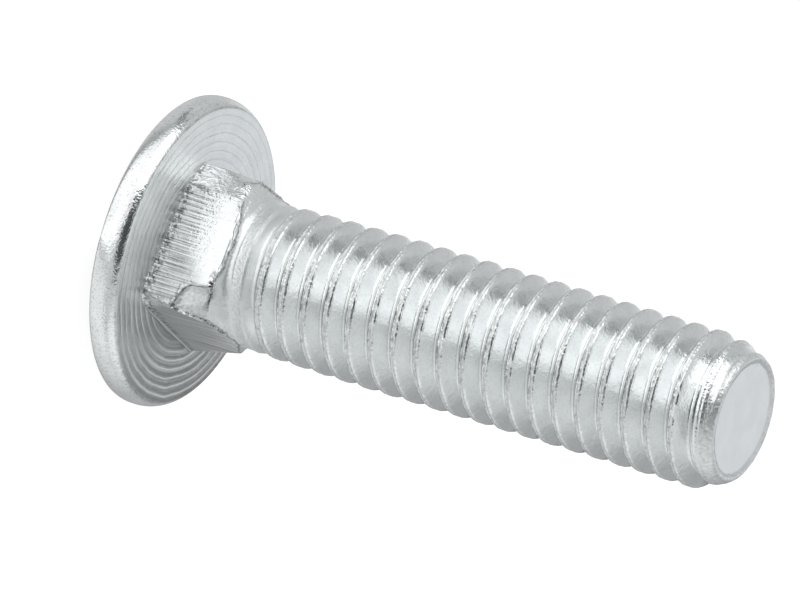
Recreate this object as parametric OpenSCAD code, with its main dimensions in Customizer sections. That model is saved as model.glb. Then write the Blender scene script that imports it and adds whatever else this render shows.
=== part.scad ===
// Carriage bolt, 3/8-16 x 1-1/2: a low domed round head, a square neck and a rolled
// right-hand thread. One forged and thread-rolled piece of zinc-plated steel.
// Lengths in mm. The bolt stands on the dome of its head with its tip up: +Z runs along
// the bolt toward the tip, and the flats of the neck face X and Y.

/* [Thread] */
// outside diameter over the crests
major_d = 9.5; // [9.3:0.05:9.5]
// distance from one crest to the next along the bolt
pitch = 1.5875; // [1.5875:0.0005:1.588]
// depth from crest to root
thread_depth = 0.95; // [0.8:0.01:1]
// width of the narrow crest
crest_w = 0.24; // [0.15:0.01:0.35]
// distance from the bearing face to the tip
length = 38.1; // [36.6:0.1:38.6]

/* [Head] */
// largest diameter, around the rim
head_d = 19.5; // [19:0.1:21.4]
// diameter of the flat bearing face under the head
bearing_d = 18.5; // [18:0.1:18.6]
// height of the rim, from the bearing face to where the dome begins
rim_h = 1.85; // [1.4:0.05:2.5]
// height of the whole head
head_h = 4.1; // [3.8:0.05:5.3]

/* [Neck] */
// size across the flats of the square
neck_w = 9.5; // [9.35:0.05:9.85]
// size across the worn corners of the square at the head
corner_d = 12.6; // [12:0.1:13]
// distance from the bearing face to where the neck has tapered to the shank
neck_h = 4.8; // [4.6:0.1:5]

/* [Tip] */
// diameter of the flat disc at the end
disc_d = 7.1; // [6.5:0.1:7.5]
// diameter at the outer edge of the bevel around that disc
bevel_d = 8.1; // [7.8:0.1:8.4]
// length of that bevel along the bolt
bevel_h = 0.35; // [0.2:0.05:0.6]

/* [Hidden] */
$fn = 96;
zinc = [0.78, 0.80, 0.80];

major_r = major_d / 2;
root_r = major_r - thread_depth;
shank_r = 4.3;
head_r = head_d / 2;
rim_in = head_r - 0.4;
rim_z = -0.65;

// Thread grid: columns around the bolt, rows along its helix
columns = 36;
first_root = 3.32;
thread_from = 4.2;
thread_to = length - bevel_h;
// one turn of the profile from root to root: place along the pitch, share of the depth
turn = [
  [0, 0],
  [0.17, 0.17],
  [0.5 - crest_w / pitch / 2, 1],
  [0.5 + crest_w / pitch / 2, 1],
  [0.83, 0.17]
];
steps = len(turn);

// Radius of the dome, from its rise and its width at the rim
dome_rise = head_h - rim_h;
dome_r = (rim_in * rim_in + dome_rise * dome_rise) / (2 * dome_rise);

// Radius of the crests and of the roots at height z: both run in from the plain shank
// and close again on the bevelled tip
function crest_at(z) = lookup(z, [
  [4.2, 4.2], [4.4, 4.25], [4.9, major_r - 0.25], [6.5, major_r - 0.14],
  [10, major_r - 0.05], [14, major_r], [thread_to - 1.65, major_r], [thread_to, bevel_d / 2]
]);
function root_at(z) = lookup(z, [
  [4.4, 4.2], [6.2, root_r], [thread_to - 1.2, root_r], [thread_to - 0.15, bevel_d / 2 - 0.05],
  [thread_to, bevel_d / 2]
]);

// Point of the thread at row i and column j
function row_z(i, j) =
  first_root + pitch * (floor(i / steps) + turn[i % steps][0] + j / columns);
function grid_r(i, z) =
  root_at(z) + (crest_at(z) - root_at(z)) * turn[i % steps][1];
function ring_point(r, j, z) = [r * cos(360 * j / columns), r * sin(360 * j / columns), z];
function grid_point(i, j) =
  let (z = row_z(i, j)) ring_point(grid_r(i, z), j, z);

// First and last row of column j that lie between the two ends
all_rows = steps * ceil((thread_to - first_root) / pitch + 1);
margin = 0.03;
function first_row(j) =
  min([for (i = [0:all_rows]) if (row_z(i, j) > thread_from + margin) i]);
function last_row(j) =
  max([for (i = [0:all_rows]) if (row_z(i, j) < thread_to - margin) i]);

lows = [for (j = [0:columns - 1]) first_row(j)];
highs = [for (j = [0:columns - 1]) last_row(j)];
// number of points before column j, each column being end, rows, end
function before(j) = j == 0 ? 0 : before(j - 1) + highs[j - 1] - lows[j - 1] + 3;
starts = [for (j = [0:columns - 1]) before(j)];
total = before(columns);

// Index of a row in column j, where column number `columns` is column 0 a turn later
function at(i, j) =
  j < columns ? starts[j] + 1 + i - lows[j] : starts[0] + 1 + i + steps - lows[0];
function foot(j) = starts[j % columns];
function top(j) = starts[j % columns] + highs[j % columns] - lows[j % columns] + 2;
function low(j) = j < columns ? lows[j] : lows[0] - steps;
function high(j) = j < columns ? highs[j] : highs[0] - steps;

// Threaded part of the shank as one closed surface
module thread() {
  points = [
    for (j = [0:columns - 1]) each [
      ring_point(root_at(thread_from), j, thread_from),
      for (i = [lows[j]:highs[j]]) grid_point(i, j),
      ring_point(bevel_d / 2, j, thread_to)
    ],
    for (j = [0:columns - 1]) ring_point(disc_d / 2, j, length)
  ];
  sides = [
    for (j = [0:columns - 1]) each [
      // between the rows that both columns have
      for (i = [low(j):high(j + 1) - 1]) each [
        [at(i, j), at(i + 1, j), at(i + 1, j + 1)],
        [at(i, j), at(i + 1, j + 1), at(i, j + 1)]
      ],
      // down to the lower end
      [at(low(j), j), foot(j + 1), foot(j)],
      [at(low(j), j), at(low(j + 1), j + 1), foot(j + 1)],
      for (i = [low(j + 1):1:low(j) - 1])
        [at(low(j), j), at(i + 1, j + 1), at(i, j + 1)],
      // up to the upper end
      for (i = [high(j + 1):1:high(j) - 1])
        [at(high(j + 1), j + 1), at(i, j), at(i + 1, j)],
      [at(high(j + 1), j + 1), at(high(j), j), top(j)],
      [at(high(j + 1), j + 1), top(j), top(j + 1)],
      // bevel of the tip
      [top(j), total + j, total + (j + 1) % columns],
      [top(j), total + (j + 1) % columns, top(j + 1)]
    ]
  ];
  foot_face = [for (j = [0:columns - 1]) foot(j)];
  disc_face = [for (j = [columns - 1:-1:0]) total + j];
  polyhedron(points, concat(sides, [foot_face, disc_face]), convexity = 12);
}

// Head: flat bearing face at z = 0, upright rim with rounded edges, low dome behind
module head() {
  rotate_extrude() {
    polygon([
      [0, 0], [bearing_d / 2, 0], [bearing_d / 2 + 0.28, -0.12], [head_r - 0.06, -0.4],
      [head_r, rim_z], [head_r, 0.45 - rim_h], [head_r - 0.12, 0.16 - rim_h],
      [rim_in, -rim_h], [0, -rim_h]
    ]);
    intersection() {
      translate([0, dome_r - head_h]) circle(r = dome_r, $fn = 360);
      translate([0, -head_h - 1]) square([head_r, head_h + 1 - rim_h + 0.001]);
    }
  }
}

// Neck: a square whose corners are turned down to the shank in a rounded shoulder
module neck() {
  full_to = 1.6;
  shoulder = [for (t = [0:0.1:1])
    [shank_r + (corner_d / 2 - shank_r) * (1 - t * t), full_to + (neck_h - full_to) * t]];
  intersection() {
    translate([-neck_w / 2, -neck_w / 2, -0.5]) cube([neck_w, neck_w, neck_h + 0.5]);
    rotate_extrude()
      polygon(concat([[0, -0.5], [corner_d / 2, -0.5]], shoulder, [[0, neck_h]]));
  }
}

module bolt() {
  head();
  neck();
  cylinder(r = shank_r, h = neck_h + 0.1);
  thread();
}

module carriage_bolt() {
  color(zinc)
    translate([0, 0, head_h]) bolt();
}

carriage_bolt();
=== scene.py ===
import math

import bmesh
import bpy
import numpy as np
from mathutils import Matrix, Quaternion, Vector


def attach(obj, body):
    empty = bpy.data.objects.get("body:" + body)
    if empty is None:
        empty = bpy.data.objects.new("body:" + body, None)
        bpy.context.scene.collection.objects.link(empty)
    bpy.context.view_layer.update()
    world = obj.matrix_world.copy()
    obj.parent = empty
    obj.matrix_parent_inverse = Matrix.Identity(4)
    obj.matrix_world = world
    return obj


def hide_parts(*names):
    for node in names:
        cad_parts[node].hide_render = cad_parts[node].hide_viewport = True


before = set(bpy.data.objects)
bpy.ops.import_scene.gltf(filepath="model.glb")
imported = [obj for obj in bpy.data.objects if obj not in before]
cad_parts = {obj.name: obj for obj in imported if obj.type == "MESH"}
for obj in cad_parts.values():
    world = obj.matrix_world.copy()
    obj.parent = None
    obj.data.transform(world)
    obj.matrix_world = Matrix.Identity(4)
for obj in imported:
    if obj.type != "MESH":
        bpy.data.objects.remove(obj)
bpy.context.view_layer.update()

MM = 0.001

# Sizes of the bolt in mm. Heights above the bearing face are along the bolt, toward the tip
HEAD_H = 4.1
HEAD_R = 9.75
RIM_H = 1.85
DOME_INNER_R = 9.35
SEAT_R = 9.25
SEAT_INNER_R = 7.0
NECK_HALF = 4.75
MAJOR_R = 4.75
ROOT_R = 3.8
FULL_DEPTH = 0.95
PITCH = 1.5875
FIRST_ROOT = 3.32
THREAD_END = 37.75
LENGTH = 38.1
BEVEL_R = 4.05
# Above this height the neck lies inside the thread
NECK_TOP = 7

# Profile of the thread in shares of the pitch: half width of the root, distance from the root to
# the end of the flank, widths of the chamfer, of the lip beside the seam and of the seam's edge
ROOT_HALF = 0.045
FLANK_END = 0.342
CHAMFER = 0.066
LIP = 0.035
SEAM_EDGE = 0.03
# Shares of the thread's depth: height where the flank ends, depth of the seam along the crest
FLANK_SHARE = 0.895
SEAM_DEPTH = 0.055
# Random unevenness of the crests in mm
CREST_ROUGH = 0.012

# Marks of forging on the neck in mm: step where the flats are cut, burr above it, depth of the
# nick, height where the pressed facet starts
STEP_DOWN = 0.1
BURR_HEIGHT = 0.04
NICK_DEPTH = 0.08
FACET_FROM = 2.1
# Radius in mm for a surface that cuts nothing
FAR = 30

# Columns round the bolt, drawn together at the corners of the square neck
COLUMNS = 200
CORNER_PULL = 0.5
# Height above the bearing face where flat rings give way to rows that follow the helix
HELIX_FROM = 2.9


def column_angles():
    """Angles t - pull / 4 * sin(4 (t - 45 deg)) for evenly spaced t, so that columns crowd at the
    corners."""
    t = np.linspace(0, 2 * np.pi, COLUMNS + 1)
    return t - CORNER_PULL / 4 * np.sin(4 * (t - np.pi / 4))


ANGLES = column_angles()


def smooth_min(shapes, k):
    """Least of several surfaces, with a rounded edge of about k where two of them cross."""
    stack = np.stack(shapes)
    low = stack.min(axis=0)
    return low - k * np.log(np.exp(-(stack - low) / k).sum(axis=0))


def smooth_step(x):
    """Goes from 0 to 1 as x does, level at both ends."""
    x = np.clip(x, 0, 1)
    return x * x * (3 - 2 * x)


def waves(angle, z, seed, size, count=7):
    """Sum of a few random waves round and along the bolt, about `size` mm long. It lies between
    about -1 and 1."""
    rng = np.random.default_rng(seed)
    most = max(2, int(2 * np.pi * 5 / size))
    total = 0
    for _ in range(count):
        turns = rng.integers(1, most)
        along = rng.normal() * 2 * np.pi / size
        total = total + np.cos(turns * angle + along * z + rng.uniform(0, 2 * np.pi))
    return total / math.sqrt(2 * count) * 0.8


def turn_from_flat(angle):
    """Angle from the middle of the nearest flat of the square, from -45 to 45 degrees."""
    return (angle + np.pi / 4) % (np.pi / 2) - np.pi / 4


def flat_radius(angle, half):
    """Distance from the axis to a square of the given half width: half / cos(angle from its flat)."""
    return half / np.cos(turn_from_flat(angle))


def worn_corner(angle, z):
    """Radius over the worn corners of the square, which lean in toward the thread, the one between
    +X and +Y most. The corner nearest to the eye is whole up to its pressed facet."""
    worn = np.interp(z, [0, 0.4, 1.2, 2.0, 3.0, 6.0], [6.5, 6.45, 6.25, 6.02, 5.86, 5.7])
    lean = np.interp(z, [0, 1.27, 2.73, 3.67, 4.4, 6], [6.45, 5.93, 5.42, 5.17, 5.0, 4.8])
    whole = smooth_step((0.35 - np.abs(angle - math.radians(315))) / 0.1)
    leaning = smooth_step((0.9 - np.abs(angle - math.radians(45))) / 0.1)
    return worn + 0.8 * whole + (lean - worn) * leaning


def shoulder_radius(angle, z):
    """Radius of the shoulder between the square and the shank. Its height wanders round the bolt."""
    start = np.interp(
        (np.degrees(angle) + 180) % 360 - 180,
        [-180, -135, -90, -60, -30, 0, 20, 45, 90, 135, 180],
        [-0.05, -0.1, 0, 0.1, 0.62, 0.65, 0.1, -0.3, 0, 0.1, -0.05],
    )
    return np.interp(
        z - start - 0.06 * waves(angle, z, 3, 1.5),
        [3.0, 3.7, 3.95, 4.12, 4.3, 4.42, 4.6, 4.9, 5.3, 6.0],
        [7.0, 6.1, 5.65, 5.3, 5.0, 4.74, 4.58, 4.48, 4.36, 3.9],
    )


def plane_radius(angle, facing, distance):
    """Distance from the axis to an upright plane that faces the given way: distance / cos(turn)."""
    swing = np.cos(angle - np.radians(facing))
    return np.where(swing > 0.2, distance / np.maximum(swing, 0.2), FAR)


def pressed_facet(angle, z):
    """Facet pressed into the corner nearest to the eye, from mid-height to the shoulder. It turns
    from the front flat toward the corner as it rises. Its edge on the front flat lies at x, so
    its distance from the axis is x * cos(facing) + half width * sin(facing)."""
    facing = np.interp(z, [FACET_FROM, 2.6, 3.4, 4.2, 5.0], [-78, -77, -69, -60, -54])
    edge = np.interp(z, [FACET_FROM, 2.3, 2.4, 2.57, 2.9, 4.0], [4.9, 4.3, 3.8, 3.3, 3.05, 2.85])
    edge = edge + 0.05 * waves(angle, z, 5, 0.8)
    turn = np.radians(facing)
    distance = edge * np.cos(turn) - NECK_HALF * np.sin(turn)
    return np.where(z > FACET_FROM, plane_radius(angle, facing, distance), FAR)


def corner_strips(angle, z):
    """Narrow worn strips: one on the pressed corner near the head, one on the upper corner."""
    low = plane_radius(angle, -19.8, 5.62 + 0.19 * z + 0.02 * waves(angle, z, 8, 0.7))
    high = plane_radius(angle, -116, 5.52 + 0.01 * z + 0.02 * waves(angle, z, 9, 0.7))
    return low, high


def nick(angle, z):
    """Small slanting dent at the head end of the front flat, from 0 to 1:
    exp(-(across / 0.22) ** 2 - (along / 0.5) ** 2)."""
    x = NECK_HALF * np.cos(angle) / np.maximum(-np.sin(angle), 0.5)
    along = z - 0.95
    across = x + 3.1 - 0.27 * along
    return (np.sin(angle) < -0.7) * np.exp(-(across / 0.22) ** 2 - (along / 0.5) ** 2)


def neck_cut(angle, z):
    """How deep the facet and the shoulder cut into the square. Where that is below 0 they don't."""
    cut = np.minimum(pressed_facet(angle, z), shoulder_radius(angle, z))
    return flat_radius(angle, NECK_HALF) - cut


def neck_radius(angle, z):
    """Least of the square, its worn corners and strips, the facet and the shoulder, less the nick.
    Where the facet or the shoulder cuts the square there is a small step down and a burr above."""
    low, high = corner_strips(angle, z)
    square = smooth_min(
        [flat_radius(angle, NECK_HALF), worn_corner(angle, z), low, high], 0.03
    )
    cut = smooth_min([pressed_facet(angle, z), shoulder_radius(angle, z)], 0.04)
    under = square - cut
    drop = STEP_DOWN * smooth_step(under / 0.06) * smooth_step((0.8 - under) / 0.7)
    burr = BURR_HEIGHT * smooth_step((under + 0.2) / 0.15) * (under < 0)
    burr = burr * (1 + 0.8 * waves(angle, z, 12, 0.6))
    return np.minimum(square + burr, cut) - drop - NICK_DEPTH * nick(angle, z)


def crest_radius(z):
    """Radius over the crests, which rise from the plain shank and close again at the tip."""
    return np.interp(
        z,
        [4.2, 4.4, 4.9, 6.5, 10, 14, THREAD_END - 1.65, THREAD_END],
        [4.2, 4.25, 4.5, 4.61, 4.7, MAJOR_R, MAJOR_R, BEVEL_R],
    )


def root_radius(z):
    """Radius at the bottom of the grooves."""
    return np.interp(
        z,
        [4.4, 6.2, THREAD_END - 1.2, THREAD_END - 0.15, THREAD_END],
        [4.2, ROOT_R, ROOT_R, BEVEL_R - 0.05, BEVEL_R],
    )


def flank_end(z):
    """Share of the pitch from the root where the flank ends. The slope of the flanks is the same
    everywhere, so shallow thread at the run-out has a wide flat crest."""
    depth = np.where(z < LENGTH / 2, crest_radius(z) - root_radius(z), FULL_DEPTH)
    return ROOT_HALF + (FLANK_END - ROOT_HALF) * np.clip(depth / FULL_DEPTH, 0.35, 1)


def thread_share(near, end):
    """Share of the thread's depth at a distance `near` from the root, in pitches: straight flanks
    (t + sqrt(t ** 2 + round ** 2)) / 2 from a narrow rounded root, a chamfer, and two lips with
    a rolling seam between them."""
    t = (near - ROOT_HALF) / (end - ROOT_HALF)
    flank = FLANK_SHARE * (t + np.sqrt(t ** 2 + 0.1 ** 2)) / 2
    past = near - end
    chamfer = FLANK_SHARE + (1 - FLANK_SHARE) * np.clip(past / CHAMFER, 0, 1)
    hollow = smooth_step((past - CHAMFER - LIP) / SEAM_EDGE)
    return np.where(past < 0, flank, chamfer - SEAM_DEPTH * hollow)


def lathe(profile):
    """Rings of a profile of radius and height turned round the axis."""
    r, z = np.array(profile).T
    r = np.repeat(r[:, None], COLUMNS + 1, axis=1)
    z = np.repeat(z[:, None], COLUMNS + 1, axis=1)
    return r, z


def head_rings():
    """Dome as part of a ball, rounded rim and flat bearing face up to a circle round the neck."""
    rise = HEAD_H - RIM_H
    ball = (DOME_INNER_R ** 2 + rise ** 2) / (2 * rise)
    r = np.linspace(0, DOME_INNER_R, 16)
    dome = list(zip(r, ball - HEAD_H - np.sqrt(ball ** 2 - r ** 2)))
    rim = [
        (9.47, -1.8), (9.57, -1.73), (9.66, -1.62), (9.71, -1.48), (9.74, -1.3),
        (HEAD_R, -1.1), (9.745, -0.92), (9.72, -0.74), (9.68, -0.58), (9.63, -0.44),
        (9.57, -0.32), (9.5, -0.21), (9.42, -0.12), (9.34, -0.05), (9.28, -0.01),
    ]
    seat = [(x, 0) for x in np.linspace(SEAT_R, SEAT_INNER_R, 10)]
    return lathe(dome + rim + seat)


def foot_fillet():
    """Radius of the hollow fillet at the foot of the neck, wider toward +X and a little uneven."""
    return 0.12 + 0.13 * smooth_step(np.cos(ANGLES)) + 0.03 * waves(ANGLES, 0, 21, 1.0)


def foot_rings():
    """From the circle on the bearing face to the square foot of the neck, and up its hollow fillet."""
    fillet = foot_fillet()
    foot = neck_radius(ANGLES, fillet)
    share = np.linspace(0, 1, 10)[1:, None]
    flat_r = SEAT_INNER_R + (foot + fillet - SEAT_INNER_R) * share
    turn = np.linspace(0, np.pi / 2, 6)[1:, None]
    up_r = foot + fillet * (1 - np.sin(turn))
    up_z = fillet * (1 - np.cos(turn)) + 0 * foot
    r = np.vstack([flat_r, up_r])
    z = np.vstack([0 * flat_r, up_z])
    return r, z


def neck_rings():
    """Level rings up the lower part of the neck."""
    fillet = foot_fillet()
    z = fillet + (HELIX_FROM - fillet) * np.linspace(0, 1, 20)[1:, None]
    return neck_radius(np.broadcast_to(ANGLES, z.shape), z), z


def row_heights():
    """Heights of the rows, z = first root + pitch * (turn + fraction + angle / 360). In each turn
    there are rows in the root, along both flanks, at the edges of chamfer, lip and seam, and in
    the middle of the crest. Also returns the unevenness at each of their points."""
    turns = int((THREAD_END - HELIX_FROM) / PITCH) + 4
    crest_z = FIRST_ROOT + PITCH * (np.arange(turns)[:, None] - 2.5 + ANGLES / (2 * np.pi))
    end = flank_end(crest_z)
    lip_end = end + CHAMFER + LIP
    root = [0 * end, 0 * end + 0.04, 0 * end + 0.08]
    half = root + [end - 0.025, end, end + CHAMFER, lip_end, lip_end + SEAM_EDGE]
    near = np.stack(half + [0 * end + 0.5] + half[:0:-1], axis=1)
    rows = near.shape[1]
    side = np.where(np.arange(rows) < len(half) + 1, -1, 1)[None, :, None]
    z = crest_z[:, None, :] + PITCH * side * (0.5 - near)
    return z.reshape(turns * rows, -1), helix_noise(turns, rows)


def thread_rows():
    """Rows of the thread, held between its two ends, with the share of crest and of seam at each
    point. The radius is the larger of neck and thread."""
    z, rough = row_heights()
    z = np.clip(z, HELIX_FROM, THREAD_END)
    fraction = ((z - FIRST_ROOT) / PITCH - ANGLES / (2 * np.pi)) % 1
    near = np.minimum(fraction, 1 - fraction)
    root = root_radius(z)
    crest = crest_radius(z)
    end = flank_end(z)
    depth = np.clip((crest - root) / 0.8, 0, 1)
    on_crest = smooth_step((near - end - CHAMFER + 0.015) / 0.03) * depth
    seam = smooth_step((near - end - CHAMFER - LIP + 0.01) / 0.03) * depth ** 3
    r = root + (crest - root) * thread_share(near, end)
    r = r + CREST_ROUGH * rough * on_crest
    neck = neck_radius(np.broadcast_to(ANGLES, z.shape), z)
    r = np.maximum(r, np.where(z < NECK_TOP, neck, 0))
    return r, z, on_crest, seam


def helix_noise(turns, rows):
    """Random value at each row and column, so laid out that it runs on along the helix."""
    rng = np.random.default_rng(11)
    line = rng.normal(size=(rows, (turns + 1) * COLUMNS + 1))
    place = np.arange(turns)[:, None] * COLUMNS + np.arange(COLUMNS + 1)
    noise = line[:, place]
    return noise.transpose(1, 0, 2).reshape(turns * rows, COLUMNS + 1)


def tip_rings():
    """Bevel and the dished end: a rounded lip, a slope inside it and a nearly flat disc. The lip
    wanders a little and lies off centre, toward -X."""
    profile = [(4.0, 37.81), (3.93, 37.92), (3.86, 38.02), (3.79, 38.08), (3.73, LENGTH)]
    profile += [(3.66, 38.09), (3.56, 38.04), (3.46, 37.99), (3.36, 37.97)]
    profile += [(x, 37.965 - 0.02 * (1 - (x / 3.2) ** 2)) for x in np.linspace(3.2, 0, 8)]
    r, z = lathe(profile)
    uneven = smooth_step((3.9 - r) / 0.2) * smooth_step((r - 2.4) / 0.8)
    wander = 0.035 * waves(ANGLES, 0 * ANGLES, 31, 1.0, 11) - 0.08 * np.cos(ANGLES)
    r = r + uneven * wander
    return r, z


def bolt_surface():
    """All rings in order from the middle of the dome to the middle of the tip."""
    head_r, head_z = head_rings()
    foot_r, foot_z = foot_rings()
    neck_r, neck_z = neck_rings()
    thread_r, thread_z, thread_crest, thread_seam = thread_rows()
    tip_r, tip_z = tip_rings()
    r = np.vstack([head_r, foot_r, neck_r, thread_r, tip_r])
    z = np.vstack([head_z, foot_z, neck_z, thread_z, tip_z])
    first = len(head_r) + len(foot_r) + len(neck_r)
    threaded = slice(first, first + len(thread_r))
    crest = np.zeros_like(r)
    crest[threaded] = thread_crest
    seam = np.zeros_like(r)
    seam[threaded] = thread_seam
    return r, z, crest, seam


def make_bolt():
    """One closed mesh: the grid of rings with its seam, poles and held rows merged."""
    r, z, crest, seam = bolt_surface()
    angle = np.broadcast_to(ANGLES, r.shape)
    points = np.stack([r * np.cos(angle), r * np.sin(angle), z + HEAD_H], axis=-1) * MM
    index = np.arange(r.size).reshape(r.shape)
    quads = np.stack(
        [index[:-1, :-1], index[:-1, 1:], index[1:, 1:], index[1:, :-1]], axis=-1
    ).reshape(-1, 4)
    mesh = bpy.data.meshes.new("carriage_bolt_surface")
    mesh.from_pydata(points.reshape(-1, 3).tolist(), [], quads.tolist())
    marks = {"crest": crest, "seam": seam, "across": r * np.sin(turn_from_flat(angle)) * MM}
    marks.update(finish_marks(r, z, angle))
    for name, values in marks.items():
        add_values(mesh, name, values)
    merge_doubles(mesh)
    mesh.shade_smooth()
    mesh.set_sharp_from_angle(angle=math.radians(50))
    bolt = bpy.data.objects.new("carriage_bolt_zinc", mesh)
    bpy.context.scene.collection.objects.link(bolt)
    return bolt


def finish_marks(r, z, angle):
    """Shares of the marks that the material shows:
    striae, drawing lines on the flats of the neck;
    crinkle, uneven metal at its foot, on strips and burr and at the edge of the tip;
    seat, the bearing face, with rings turned on it, strongest on the near side and with painted shade
    in their grooves, and shade, painted shade on its lower side;
    scraped, soiled flats, and foot and blunt, the foot of the front flat and of the others, the latter
    dull and with painted shade;
    nick, the dent, and pressed, the facet;
    tip, rim, runout and disc, those parts of the bolt, and lip, the edge of the bearing face.
    `crease` is the distance in mm from the line where the flats are cut: depth of the cut / its
    slope."""
    on_neck = (z > 0.03) & (z < 5.4)
    flat = on_neck & (np.abs(r - flat_radius(angle, NECK_HALF)) < 0.09)
    low, high = corner_strips(angle, z)
    strip = on_neck & ((np.abs(r - low) < 0.06) | (np.abs(r - high) < 0.06))
    under = neck_cut(angle, z)
    step = 0.03
    middle_r = 5
    up = (neck_cut(angle, z + step) - under) / step
    round_it = (neck_cut(angle + step / middle_r, z) - under) / step
    line = np.clip(under / np.maximum(np.hypot(up, round_it), 0.2), -1, 1)
    burr = on_neck & (np.abs(line) < 0.2)
    pressed = on_neck & (line > 0.04) & (pressed_facet(angle, z) < shoulder_radius(angle, z))
    front = smooth_step(-1.5 * np.sin(angle))
    tip = smooth_step((z - THREAD_END + 0.7) / 0.5) * smooth_step((r - 3.35) / 0.2)
    crinkle = np.maximum.reduce([
        strip * 0.8,
        burr * 0.5,
        (on_neck & ~flat) * 0.25,
        tip * 0.5,
        on_neck * front * smooth_step((1.1 - z) / 0.9),
    ])
    seat = (np.abs(z) < 0.005) & (r < 9.3)
    # Painted shade: the bearing face is darker on its lower side, round 28 degrees from +X
    lower = smooth_step(1.2 * np.cos(angle - math.radians(28)) - 0.1)
    around_neck = (np.abs(r - 6) < 1.4) * (z > 0.004)
    return {
        "striae": flat * (0.4 + 0.6 * smooth_step((4.2 - z) / 3.4)),
        "crinkle": crinkle,
        "seat": seat * 1.0,
        # Turned rings, strongest on the near side: their relief, and painted shade in their grooves
        "rings": seat * (0.35 + 0.65 * smooth_step(0.5 + 0.6 * np.cos(angle + 0.4))),
        "shade": seat * lower,
        "scraped": flat * smooth_step((2.6 + 4 * smooth_step(np.cos(angle)) - z) / 2.4),
        "crease": np.where(on_neck, line, -1),
        "foot": on_neck * front * smooth_step((0.8 - z) / 0.5),
        # Painted shade and dullness in the fillet and at the foot of the neck, away from the front
        "dull_and_shaded_foot": around_neck * (1 - front) * smooth_step((0.6 - z) / 0.4),
        "nick": on_neck * nick(angle, z),
        "pressed": pressed * 1.0,
        "tip": tip,
        "rim": (z < -0.05) * (r > 9.2),
        "runout": smooth_step((z - 4.2) / 0.3) * smooth_step((7.6 - z) / 1.6),
        "lip": np.exp(-((r - 9.31) / 0.04) ** 2) * (np.abs(z) < 0.1),
        "disc": (z > 37.9) * smooth_step((3.6 - r) / 0.3),
    }


def add_values(mesh, name, values):
    """One number for each vertex, for the material to read."""
    layer = mesh.attributes.new(name, "FLOAT", "POINT")
    layer.data.foreach_set("value", np.ascontiguousarray(values, dtype=np.float32).ravel())


def merge_doubles(mesh):
    """Merges points that lie on each other, which closes the seam and the poles."""
    work = bmesh.new()
    work.from_mesh(mesh)
    bmesh.ops.remove_doubles(work, verts=work.verts, dist=2e-7)
    work.to_mesh(mesh)
    work.free()


def new_material(name):
    """A material and its shader."""
    mat = bpy.data.materials.new(name)
    mat.use_nodes = True
    return mat, mat.node_tree.nodes["Principled BSDF"]


def join(tree, output, socket):
    """Links an output to an input."""
    tree.links.new(output, socket)


def maths(tree, operation, first, second=0.5):
    """A math node on two inputs, each a socket or a number."""
    made = tree.nodes.new("ShaderNodeMath")
    made.operation = operation
    for i, value in enumerate((first, second)):
        if isinstance(value, (int, float)):
            made.inputs[i].default_value = value
        else:
            join(tree, value, made.inputs[i])
    return made.outputs[0]


def attribute(tree, name):
    """One of the numbers on the vertices."""
    made = tree.nodes.new("ShaderNodeAttribute")
    made.attribute_name = name
    return made.outputs["Fac"]


def noise(tree, vector, size_mm, detail):
    """Noise of the given grain size in mm, from 0 to 1."""
    made = tree.nodes.new("ShaderNodeTexNoise")
    made.inputs["Scale"].default_value = 1 / (size_mm * MM)
    made.inputs["Detail"].default_value = detail
    join(tree, vector, made.inputs["Vector"])
    return made.outputs["Fac"]


def product(tree, *parts):
    """Product of several sockets or numbers, the first one a socket."""
    result = parts[0]
    for part in parts[1:]:
        result = maths(tree, "MULTIPLY", result, part)
    return result


def weighed(tree, fields, terms):
    """Sum of terms, each of them a number times the fields that it names."""
    result = None
    for share, *names in terms:
        part = product(tree, *[fields[name] for name in names], share)
        result = part if result is None else maths(tree, "ADD", result, part)
    return result


def above(tree, value, low, high):
    """Share that goes from 0 to 1 as the value goes from low to high."""
    made = tree.nodes.new("ShaderNodeMapRange")
    made.inputs["From Min"].default_value = low
    made.inputs["From Max"].default_value = high
    join(tree, value, made.inputs["Value"])
    return made.outputs[0]


def from_axis(tree, x, y):
    """Distance from the axis: square root of x ** 2 + y ** 2."""
    square = maths(tree, "ADD", product(tree, x, x), product(tree, y, y))
    return maths(tree, "SQRT", square)


def mixed(tree, share, socket, colour):
    """Goes from the colour of a socket to a fixed one as the share goes from 0 to 1."""
    made = tree.nodes.new("ShaderNodeMix")
    made.data_type = "RGBA"
    join(tree, share, made.inputs["Factor"])
    join(tree, socket, made.inputs["A"])
    made.inputs["B"].default_value = (*colour, 1)
    return made.outputs["Result"]


# Numbers on the vertices that the plating reads
MARKS = (
    "crest", "seam", "across", "striae", "crinkle", "seat", "rings", "shade", "scraped", "crease",
    "foot", "dull_and_shaded_foot", "nick", "pressed", "tip", "rim", "runout", "lip", "disc",
)
# Noises of the plating: grain size in mm and detail
NOISES = {
    "wander": (2.0, 2), "peel": (0.9, 2), "grain": (0.3, 2), "fine_grain": (0.13, 1),
    "folds": (0.24, 3), "broken": (0.16, 2), "cloud": (1.5, 3), "blotch": (0.22, 2),
    "jitter": (0.35, 3), "speckle": (0.14, 1), "mottle": (0.22, 3), "sheen": (0.6, 3),
}
# Spots, lines and tops cut out of a field: it goes from 0 to 1 between these two of its values
CUTS = {
    "rough": ("disc", 1, 0),
    "spots": ("blotch", 0.45, 0.62),
    "dark_streaks": ("streaks", 0.48, 0.62),
    "specks": ("speckle", 0.55, 0.72),
    "mottled": ("mottle", 0.42, 0.68),
    "ring_top_shade": ("groove", 0.5, 0.85),
    "ring_groove_shade": ("groove", 0.55, 0.2),
}
# Relief in mm: orange peel, grain, turned rings, drawing lines, folds and broken crests
RELIEF = [
    (0.028, "peel"),
    (0.018, "grain", "rough"),
    (0.015, "fine_grain", "rough"),
    (0.05, "groove", "rings"),
    (0.03, "turned", "seat"),
    (0.09, "streaks", "striae"),
    (0.1, "folds", "crinkle"),
    (0.1, "broken", "crest"),
]
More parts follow.
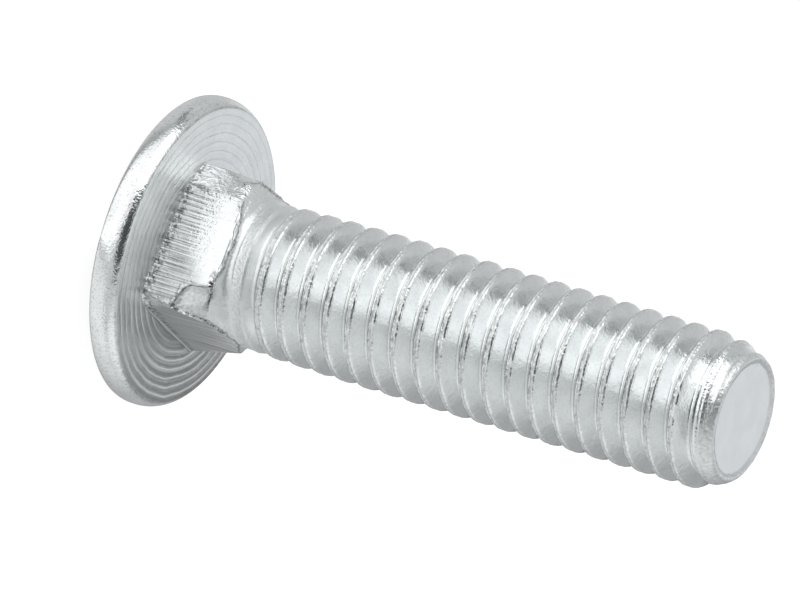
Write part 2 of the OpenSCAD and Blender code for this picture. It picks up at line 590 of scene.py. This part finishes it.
# How far the colour goes toward dark grey, for dirt and for painted shade
DIRT_AND_PAINTED_SHADE = [
    # Painted shade along the seam of the crests, partly in spots
    (0.06, "seam"),
    (0.25, "seam", "spots"),
    (0.2, "scraped"),
    (0.4, "scraped", "scraped", "dark_streaks"),
    # Painted shade in the crease where the flats are cut, partly in spots
    (0.45, "cut_line_shade"),
    (0.4, "cut_line_shade", "spots"),
    (0.75, "foot", "spots"),
    (0.32, "lip"),
    (0.45, "lip", "spots"),
    # Painted shade at the foot of the neck, away from the front
    (0.28, "dull_and_shaded_foot"),
    (0.75, "nick"),
    (0.4, "nick", "spots"),
    # Painted shade on the lower side of the bearing face, darkest on the tops of the turned rings,
    # which leaves narrow painted highlights in the grooves between them
    (0.12, "shade"),
    (0.34, "shade", "ring_top_shade"),
    (0.16, "pressed"),
    (0.16, "pressed", "spots"),
    (0.25, "tip", "mottled"),
    # Painted shade in the grooves of the turned rings, off the shaded lower side
    (0.35, "rings", "ring_groove_shade", "unshaded"),
    (0.17, "disc"),
    (0.1, "specks", "rough"),
    (0.22, "specks", "rim"),
]
# Roughness added to that of the clean plating
DULL = [
    (0.18, "seat"),
    (0.2, "seam"),
    (0.2, "scraped"),
    (0.4, "dull_and_shaded_foot"),
    (0.3, "pressed"),
    (0.25, "runout"),
    (0.22, "tip"),
]
# Distance between the rings turned on the bearing face in mm, and share of the height that the
# noise of the drawing lines sees, so that it is drawn out along the bolt
RING_SPACING = 0.56
LINE_STRETCH = 0.035


def turned_groove(tree, radius, wander):
    """Rings turned on the bearing face: square root of |sin(pi * radius / spacing + wander)|."""
    turns = product(tree, radius, math.pi / (RING_SPACING * MM))
    turns = maths(tree, "ADD", turns, product(tree, wander, 1.6))
    wave = maths(tree, "ABSOLUTE", maths(tree, "SINE", turns))
    return maths(tree, "POWER", wave, 0.5)


def turned_grain(tree, radius):
    """Noise that only changes with the radius."""
    made = tree.nodes.new("ShaderNodeTexNoise")
    made.noise_dimensions = "1D"
    made.inputs["Scale"].default_value = 1 / (0.3 * MM)
    made.inputs["Detail"].default_value = 3
    join(tree, radius, made.inputs["W"])
    return made.outputs["Fac"]


def drawing_lines(tree, across, height):
    """Noise across a flat of the neck, drawn out along the bolt."""
    stretch = tree.nodes.new("ShaderNodeCombineXYZ")
    join(tree, across, stretch.inputs[0])
    join(tree, maths(tree, "MULTIPLY", height, LINE_STRETCH), stretch.inputs[1])
    return noise(tree, stretch.outputs[0], 0.17, 1)


def cut_line_shade(tree, crease, jitter):
    """Painted shade along the cut edge of the flats: whole where |crease - 0.24 * jitter + 0.08| is
    under
    0.02 mm and gone where it is over 0.06 mm."""
    off = maths(tree, "SUBTRACT", crease, product(tree, jitter, 0.24))
    off = maths(tree, "ABSOLUTE", maths(tree, "ADD", off, 0.08))
    return above(tree, off, 0.06, 0.02)


def plating_fields(tree):
    """All that the plating depends on, by name: marks, noises and what is made from them."""
    place = tree.nodes.new("ShaderNodeTexCoord").outputs["Object"]
    split = tree.nodes.new("ShaderNodeSeparateXYZ")
    join(tree, place, split.inputs[0])
    x, y, z = split.outputs
    radius = from_axis(tree, x, y)
    fields = {name: attribute(tree, name) for name in MARKS}
    for name, (size, detail) in NOISES.items():
        fields[name] = noise(tree, place, size, detail)
    fields["groove"] = turned_groove(tree, radius, fields["wander"])
    fields["turned"] = turned_grain(tree, radius)
    fields["streaks"] = drawing_lines(tree, fields["across"], z)
    fields["cut_line_shade"] = cut_line_shade(tree, fields["crease"], fields["jitter"])
    fields["unshaded"] = maths(tree, "SUBTRACT", 1.0, fields["shade"])
    for name, (source, low, high) in CUTS.items():
        fields[name] = above(tree, fields[source], low, high)
    return fields


def plating_colour(tree, fields):
    """Pale grey that varies in clouds and goes toward dark grey where it is soiled and where shade is
    painted in.
    """
    tone = tree.nodes.new("ShaderNodeValToRGB")
    low, high = tone.color_ramp.elements
    low.position = 0.3
    low.color = (0.787, 0.81, 0.813, 1)
    high.position = 0.7
    high.color = (0.857, 0.877, 0.88, 1)
    join(tree, fields["cloud"], tone.inputs[0])
    return mixed(tree, weighed(tree, fields, DIRT_AND_PAINTED_SHADE), tone.outputs[0], (0.2, 0.2, 0.2))


def plating_roughness(tree, fields):
    """Roughness of clean plating from 0.14 to 0.24, and more on the dull marks."""
    clean = tree.nodes.new("ShaderNodeMapRange")
    clean.inputs["To Min"].default_value = 0.14
    clean.inputs["To Max"].default_value = 0.24
    join(tree, fields["sheen"], clean.inputs["Value"])
    return maths(tree, "ADD", clean.outputs[0], weighed(tree, fields, DULL))


def zinc_material():
    """Bright zinc plating with its relief, soiled, dull and painted with shade where the marks say so.
    """
    mat, shader = new_material("bright_zinc_plating")
    tree = mat.node_tree
    fields = plating_fields(tree)
    bump = tree.nodes.new("ShaderNodeBump")
    bump.inputs["Distance"].default_value = MM
    join(tree, weighed(tree, fields, RELIEF), bump.inputs["Height"])
    shader.inputs["Metallic"].default_value = 1.0
    join(tree, bump.outputs[0], shader.inputs["Normal"])
    join(tree, plating_colour(tree, fields), shader.inputs["Base Color"])
    join(tree, plating_roughness(tree, fields), shader.inputs["Roughness"])
    return mat


# Glow of the floor round GLOW_CENTRE, in metres: azimuth in degrees from +X, strength
FLOOR_GLOW = [
    (-180, 0.2), (-174, 0.12), (-169, 0), (-165, 0), (-161, 0.5), (-150, 0.76), (-128, 0.8),
    (-108, 0.82), (-96, 1.02), (-84, 1.04), (-72, 0.98), (-60, 0.66), (-47, 0.17), (-36, 0.5),
    (12, 0.6), (38, 0.42), (52, 0.2), (75, 0.15), (96, 0.1), (108, 0.5), (124, 0.6),
    (146, 0.26),
]
GLOW_CENTRE = (0.003, -0.009)
# Share that it is stronger near the centre toward -X, and the glow that the camera sees
GLOW_BOOST = 0.28
GLOW_SEEN = 0.8


def fill_ramp(ramp, stops):
    """Grey stops at azimuths from -180 to 180 degrees."""
    while len(ramp.elements) < len(stops):
        ramp.elements.new(1.0)
    for element, (azimuth, _) in zip(ramp.elements, stops):
        element.position = (azimuth + 180) / 360
    for element, (_, strength) in zip(ramp.elements, stops):
        element.color = (strength, strength, strength, 1)


def floor_material():
    """Plain white floor that keeps the shadow. Reflections see it glow like a light table, by the
    azimuth round its centre and times 1 + boost close to it on the side toward -X. The camera
    sees the same glow everywhere."""
    mat, shader = new_material("white_floor")
    tree = mat.node_tree
    shader.inputs["Base Color"].default_value = (0.5, 0.5, 0.5, 1)
    shader.inputs["Roughness"].default_value = 0.9
    shader.inputs["Specular IOR Level"].default_value = 0
    shader.inputs["Emission Color"].default_value = (1, 1, 1, 1)
    rays = tree.nodes.new("ShaderNodeLightPath")
    place = tree.nodes.new("ShaderNodeTexCoord").outputs["Object"]
    split = tree.nodes.new("ShaderNodeSeparateXYZ")
    join(tree, place, split.inputs[0])
    x = maths(tree, "SUBTRACT", split.outputs[0], GLOW_CENTRE[0])
    y = maths(tree, "SUBTRACT", split.outputs[1], GLOW_CENTRE[1])
    turn = maths(tree, "ARCTAN2", y, x)
    share = maths(tree, "ADD", maths(tree, "DIVIDE", turn, 2 * math.pi), 0.5)
    sector = tree.nodes.new("ShaderNodeValToRGB")
    fill_ramp(sector.color_ramp, FLOOR_GLOW)
    join(tree, share, sector.inputs[0])
    near = above(tree, from_axis(tree, x, y), 0.018, 0.01)
    left = above(tree, split.outputs[0], 0.001, -0.004)
    boost = maths(tree, "ADD", product(tree, near, left, GLOW_BOOST), 1.0)
    glow = tree.nodes.new("ShaderNodeMix")
    join(tree, rays.outputs["Is Camera Ray"], glow.inputs["Factor"])
    join(tree, product(tree, sector.outputs[0], boost), glow.inputs["A"])
    glow.inputs["B"].default_value = GLOW_SEEN
    join(tree, glow.outputs["Result"], shader.inputs["Emission Strength"])
    return mat


def make_floor():
    """Square floor under the bolt, 2.4 m wide."""
    mesh = bpy.data.meshes.new("floor")
    side = 1.2
    mesh.from_pydata(
        [(-side, -side, 0), (side, -side, 0), (side, side, 0), (-side, side, 0)],
        [], [(0, 1, 2, 3)],
    )
    floor = bpy.data.objects.new("floor", mesh)
    bpy.context.scene.collection.objects.link(floor)
    mesh.materials.append(floor_material())


def direction(azimuth, elevation):
    """Unit vector toward an azimuth from +X and an elevation, both in degrees."""
    a, e = math.radians(azimuth), math.radians(elevation)
    return Vector((math.cos(a) * math.cos(e), math.sin(a) * math.cos(e), math.sin(e)))


def make_lamp(name, azimuth, elevation, distance, width, height, bright):
    """A soft box that faces a point 20 mm up the bolt. Its face is `bright` times white."""
    light = bpy.data.lights.new(name, "AREA")
    light.shape = "RECTANGLE"
    light.size = width
    light.size_y = height
    light.energy = bright * math.pi * width * height
    lamp = bpy.data.objects.new(name, light)
    way = direction(azimuth, elevation)
    lamp.location = Vector((0, 0, 0.02)) + way * distance
    lamp.rotation_euler = way.to_track_quat("Z", "Y").to_euler()
    lamp.visible_camera = False
    bpy.context.scene.collection.objects.link(lamp)


# Tone of the studio, and its patches: azimuth, elevation, inner and outer radius in degrees, tone
STUDIO_TONE = (0.62, 0.63, 0.635, 1)
STUDIO = [
    (0, 90, 15, 50, (0.72, 0.735, 0.75)),
    (165, 0, 20, 48, (0.56, 0.57, 0.575)),
    (15, 28, 13, 30, (0.94, 0.955, 0.96)),
    (82, 3, 12, 34, (0.42, 0.43, 0.435)),
    (72, 26, 8, 24, (0.41, 0.42, 0.425)),
    (104, 26, 8, 23, (0.85, 0.87, 0.89)),
    (-105, 0, 25, 40, (1.1, 1.1, 1.1)),
    (-80, 48, 22, 33, (0.06, 0.065, 0.065)),
    (-169, 3, 2, 7, (0.03, 0.03, 0.03)),
    (-171, 17, 2, 8, (0.03, 0.03, 0.03)),
]


def make_world():
    """Grey studio with brighter and darker patches, each laid over those before it with a soft
    edge. The dark one high in front is the camera and the room. The camera sees white."""
    world = bpy.data.worlds.new("studio")
    world.use_nodes = True
    tree = world.node_tree
    way = tree.nodes.new("ShaderNodeTexCoord").outputs["Generated"]
    plain = tree.nodes.new("ShaderNodeRGB")
    plain.outputs[0].default_value = STUDIO_TONE
    shade = plain.outputs[0]
    for azimuth, elevation, inner, outer, tone in STUDIO:
        near = tree.nodes.new("ShaderNodeVectorMath")
        near.operation = "DOT_PRODUCT"
        near.inputs[1].default_value = direction(azimuth, elevation)
        join(tree, way, near.inputs[0])
        share = tree.nodes.new("ShaderNodeMapRange")
        share.interpolation_type = "SMOOTHSTEP"
        share.inputs["From Min"].default_value = math.cos(math.radians(outer))
        share.inputs["From Max"].default_value = math.cos(math.radians(inner))
        join(tree, near.outputs["Value"], share.inputs["Value"])
        shade = mixed(tree, share.outputs[0], shade, tone)
    rays = tree.nodes.new("ShaderNodeLightPath")
    shade = mixed(tree, rays.outputs["Is Camera Ray"], shade, (1, 1, 1))
    join(tree, shade, tree.nodes["Background"].inputs["Color"])
    bpy.context.scene.world = world


# Corners in metres of two dark cards: one stands behind the bolt, one lies on the floor toward -X
CARD_BEHIND = [
    (-0.0058, 0.045, 0.013), (0.008, 0.045, 0.013), (0.008, 0.045, 0.04), (-0.0058, 0.045, 0.04),
]
CARD_ON_FLOOR = [
    (-0.0165, -0.0075, 0.0005), (-0.017, -0.0051, 0.0005), (-0.1506, -0.0256, 0.0005),
    (-0.1468, -0.0432, 0.0005),
]


def make_card(name, corners, tone):
    """A card with the given corners, which only reflections show."""
    mesh = bpy.data.meshes.new(name)
    mesh.from_pydata(corners, [], [(0, 1, 2, 3)])
    mat, shader = new_material(name)
    shader.inputs["Base Color"].default_value = (tone, tone, tone, 1)
    mesh.materials.append(mat)
    card = bpy.data.objects.new(name, mesh)
    bpy.context.scene.collection.objects.link(card)
    card.visible_camera = False
    card.visible_shadow = False
    card.visible_diffuse = False


# Camera: point that it looks at in mm, azimuth and elevation from there, distance in mm, bank
TARGET = (-0.925, -0.233, 18.143)
EYE_AZIMUTH = -75.844
EYE_ELEVATION = 26.008
EYE_DISTANCE = 723.45
EYE_BANK = 106.695


def make_camera():
    """Looks down at the standing bolt from the front, banked so that the tip points right."""
    cam = bpy.data.cameras.new("camera")
    cam.sensor_width = 36
    cam.lens = 540
    cam.clip_start = 0.05
    cam.clip_end = 20
    eye = bpy.data.objects.new("camera", cam)
    way = direction(EYE_AZIMUTH, EYE_ELEVATION)
    eye.location = Vector(TARGET) * MM + way * EYE_DISTANCE * MM
    level = (-way).to_track_quat("-Z", "Y")
    bank = Quaternion((0, 0, 1), math.radians(EYE_BANK))
    eye.rotation_euler = (level @ bank).to_euler()
    bpy.context.scene.collection.objects.link(eye)
    bpy.context.scene.camera = eye


make_camera()
make_world()
make_floor()
make_lamp("key", azimuth=-137, elevation=23, distance=0.14, width=0.13, height=0.12, bright=1.2)
make_card("dark_card", CARD_BEHIND, tone=0.1)
make_card("dark_strip", CARD_ON_FLOOR, tone=0.01)
bolt = make_bolt()
bolt.data.materials.append(zinc_material())
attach(bolt, "root")
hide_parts("carriage_bolt")
bpy.context.scene.view_settings.view_transform = "Standard"
